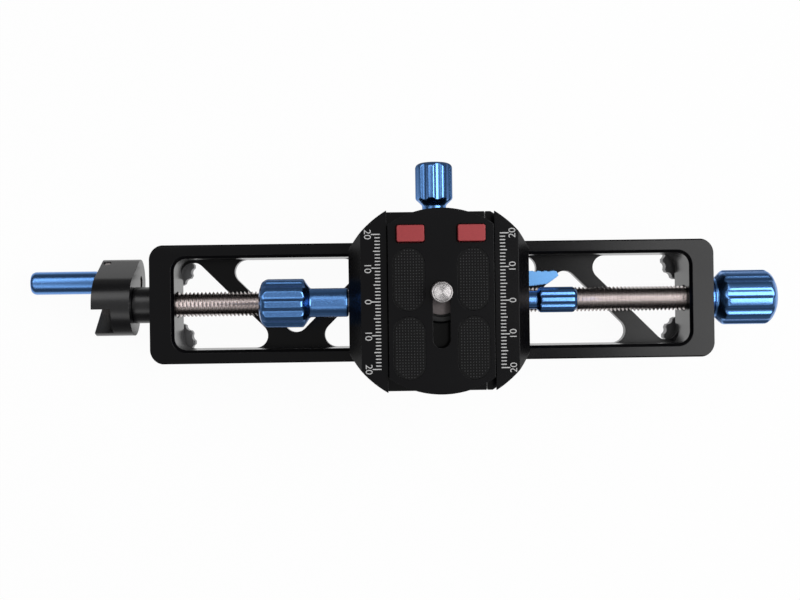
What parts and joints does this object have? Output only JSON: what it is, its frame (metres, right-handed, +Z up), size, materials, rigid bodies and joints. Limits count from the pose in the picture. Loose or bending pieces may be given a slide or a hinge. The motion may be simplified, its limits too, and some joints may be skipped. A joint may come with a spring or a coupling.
{
  "type": "macro focusing rail",
  "caption": "Screw-driven macro focusing rail with a sliding saddle, a panning quick-release clamp, its camera plate, a drive knob and a folding crank.",
  "frame": {"origin": "mouth of the large tripod thread, in the middle of the rail's underside", "axes": "+X along the rail towards the drive knob, +Y towards the carriage lock knob, +Z up"},
  "size_m": [0.2441, 0.0721, 0.0623],
  "materials": {
    "black_anodised": "fine blasted black anodising, slightly glossy",
    "blue_anodised": "bright turned blue anodising",
    "pale_blue_anodised": "pale blue anodising",
    "steel": "turned stainless steel",
    "bronze": "plain bearing bronze",
    "grey_anodised": "dark anodising",
    "red_anodised": "satin red anodising",
    "black_rubber": "textured black rubber"
  },
  "bodies": {
    "rail": {"rail_frame": "black_anodised", "screw_bush_left": "bronze", "screw_bush_right": "bronze"},
    "screw": {"lead_screw": "steel", "drive_knob": "blue_anodised", "knob_grub_screw": "steel", "crank_arm": "black_anodised", "crank_collar": "black_anodised", "crank_grub_screw": "steel", "handle_detent": "steel", "handle_pivot_pin": "steel"},
    "handle": {"handle_stem": "steel"},
    "grip": {"handle_grip": "blue_anodised"},
    "carriage": {"saddle": "black_anodised", "nut_housing": "black_anodised", "housing_screws": "steel", "lever_pin": "steel", "half_nut_spring": "steel"},
    "lever": {"release_lever": "pale_blue_anodised"},
    "nut": {"half_nut": "bronze"},
    "lock": {"lock_knob": "blue_anodised", "lock_screw": "steel"},
    "brake": {"brake_shoe": "bronze"},
    "clamp": {"clamp_body": "black_anodised", "pan_retainer": "steel", "retainer_screw": "steel", "jaw_springs": "steel"},
    "jaw": {"moving_jaw": "black_anodised", "jaw_guides": "steel"},
    "clamp_drive": {"clamp_knob": "blue_anodised", "clamp_screw": "steel"},
    "pan_lock": {"pan_lock_knob": "blue_anodised", "pan_lock_screw": "steel"},
    "pan_pad": {"pan_lock_pad": "bronze"},
    "plate": {"camera_plate": "black_anodised", "plate_rubbers": "black_rubber", "stop_cover": "steel", "stop_spring_left": "steel", "stop_spring_right": "steel"},
    "left_stop": {"stop_left": "red_anodised"},
    "right_stop": {"stop_right": "red_anodised"},
    "washer": {"slot_washer": "steel"},
    "camera_thread": {"camera_screw": "steel", "screw_head": "black_anodised"},
    "foot_base_a": {"sole_a": "black_rubber"},
    "foot_disc_a": {"foot_a": "grey_anodised"},
    "foot_base_b": {"sole_b": "black_rubber"},
    "foot_disc_b": {"foot_b": "grey_anodised"},
    "foot_base_c": {"sole_c": "black_rubber"},
    "foot_disc_c": {"foot_c": "grey_anodised"},
    "foot_base_d": {"sole_d": "black_rubber"},
    "foot_disc_d": {"foot_d": "grey_anodised"}
  },
  "joints": [
    {"name": "screw_turn", "type": "hinge", "parent": "rail", "child": "screw", "pos_m": [0, 0, 0.0118], "axis": [-1, 0, 0], "range_deg": [-11521, 16921]},
    {"name": "carriage_slide", "type": "slide", "parent": "rail", "child": "carriage", "axis": [1, 0, 0], "range_m": [-0.04, 0.05875]},
    {"name": "handle_fold", "type": "hinge", "parent": "screw", "child": "handle", "pos_m": [-0.1063, 0.00769, 0.00082], "axis": [0, 0.8192, 0.5736], "range_deg": [0, 90]},
    {"name": "grip_spin", "type": "hinge", "parent": "handle", "child": "grip", "pos_m": [-0.1063, 0.00769, 0.00082], "axis": [-1, 0, 0], "continuous": true},
    {"name": "lever_turn", "type": "hinge", "parent": "carriage", "child": "lever", "pos_m": [0.024, 0.0066, 0.0217], "axis": [0, 0, 1], "range_deg": [-6.2, 0]},
    {"name": "nut_slide", "type": "slide", "parent": "carriage", "child": "nut", "axis": [0, 1, 0], "range_m": [0, 0.001], "stiffness_N_per_m": 570, "springref_m": -0.00093, "deforming": ["half_nut_spring"]},
    {"name": "lock_turn", "type": "hinge", "parent": "carriage", "child": "lock", "pos_m": [0.0009, 0.034, 0.017], "axis": [0, -1, 0], "range_deg": [0, 135.2]},
    {"name": "brake_slide", "type": "slide", "parent": "carriage", "child": "brake", "axis": [0, -1, 0], "range_m": [0, 0.0003]},
    {"name": "clamp_pan", "type": "hinge", "parent": "carriage", "child": "clamp", "pos_m": [0.0009, 0, 0.0303], "axis": [0, 0, 1], "continuous": true},
    {"name": "clamp_turn", "type": "hinge", "parent": "clamp", "child": "clamp_drive", "pos_m": [-0.0391, 0, 0.0369], "axis": [-1, 0, 0], "range_deg": [0, 2025.5]},
    {"name": "jaw_slide", "type": "slide", "parent": "clamp", "child": "jaw", "axis": [1, 0, 0], "range_m": [0, 0.0045], "deforming": ["jaw_springs"]},
    {"name": "pan_lock_turn", "type": "hinge", "parent": "carriage", "child": "pan_lock", "pos_m": [0.0359, 0, 0.0251], "axis": [-1, 0, 0], "range_deg": [0, 150.2]},
    {"name": "pan_pad_slide", "type": "slide", "parent": "carriage", "child": "pan_pad", "axis": [-1, 0, 0], "range_m": [0, 0.0002916]},
    {"name": "plate_slide", "type": "slide", "parent": "clamp", "child": "plate", "axis": [0, 1, 0], "range_m": [-0.012, 0.012]},
    {"name": "left_stop_press", "type": "slide", "parent": "plate", "child": "left_stop", "axis": [0, 0, -1], "range_m": [0, 0.002], "stiffness_N_per_m": 400, "springref_m": -0.001, "deforming": ["stop_spring_left"]},
    {"name": "right_stop_press", "type": "slide", "parent": "plate", "child": "right_stop", "axis": [0, 0, -1], "range_m": [0, 0.002], "stiffness_N_per_m": 400, "springref_m": -0.001, "deforming": ["stop_spring_right"]},
    {"name": "camera_screw_slide", "type": "slide", "parent": "plate", "child": "washer", "axis": [0, -1, 0], "range_m": [0, 0.014]},
    {"name": "camera_screw_turn", "type": "hinge", "parent": "washer", "child": "camera_thread", "pos_m": [0.0012, 0.0026, 0.045], "axis": [0, 0, 1], "continuous": true},
    {"name": "foot_a_height", "type": "slide", "parent": "rail", "child": "foot_base_a", "axis": [0, 0, 1], "range_m": [-0.003, 0.0025]},
    {"name": "foot_a_turn", "type": "hinge", "parent": "foot_base_a", "child": "foot_disc_a", "pos_m": [-0.08615, 0.0128, -0.005], "axis": [0, 0, 1], "range_deg": [-1350.5, 1125.5]},
    {"name": "foot_b_height", "type": "slide", "parent": "rail", "child": "foot_base_b", "axis": [0, 0, 1], "range_m": [-0.003, 0.0025]},
    {"name": "foot_b_turn", "type": "hinge", "parent": "foot_base_b", "child": "foot_disc_b", "pos_m": [0.08615, 0.0128, -0.005], "axis": [0, 0, 1], "range_deg": [-1350.5, 1125.5]},
    {"name": "foot_c_height", "type": "slide", "parent": "rail", "child": "foot_base_c", "axis": [0, 0, 1], "range_m": [-0.003, 0.0025]},
    {"name": "foot_c_turn", "type": "hinge", "parent": "foot_base_c", "child": "foot_disc_c", "pos_m": [-0.08615, -0.0128, -0.005], "axis": [0, 0, 1], "range_deg": [-1350.5, 1125.5]},
    {"name": "foot_d_height", "type": "slide", "parent": "rail", "child": "foot_base_d", "axis": [0, 0, 1], "range_m": [-0.003, 0.0025]},
    {"name": "foot_d_turn", "type": "hinge", "parent": "foot_base_d", "child": "foot_disc_d", "pos_m": [0.08615, -0.0128, -0.005], "axis": [0, 0, 1], "range_deg": [-1350.5, 1125.5]}
  ],
  "couplings": [
    {"joint": "screw_turn", "follows": "carriage_slide", "rad_per_m": 5026.5},
    {"joint": "lever_turn", "follows": "nut_slide", "rad_per_m": -107.53},
    {"joint": "lock_turn", "follows": "brake_slide", "rad_per_m": 7854},
    {"joint": "clamp_turn", "follows": "jaw_slide", "rad_per_m": 7854},
    {"joint": "pan_lock_turn", "follows": "pan_pad_slide", "rad_per_m": 8976},
    {"joint": "foot_a_turn", "follows": "foot_a_height", "rad_per_m": 7854},
    {"joint": "foot_b_turn", "follows": "foot_b_height", "rad_per_m": 7854},
    {"joint": "foot_c_turn", "follows": "foot_c_height", "rad_per_m": 7854},
    {"joint": "foot_d_turn", "follows": "foot_d_height", "rad_per_m": 7854}
  ]
}
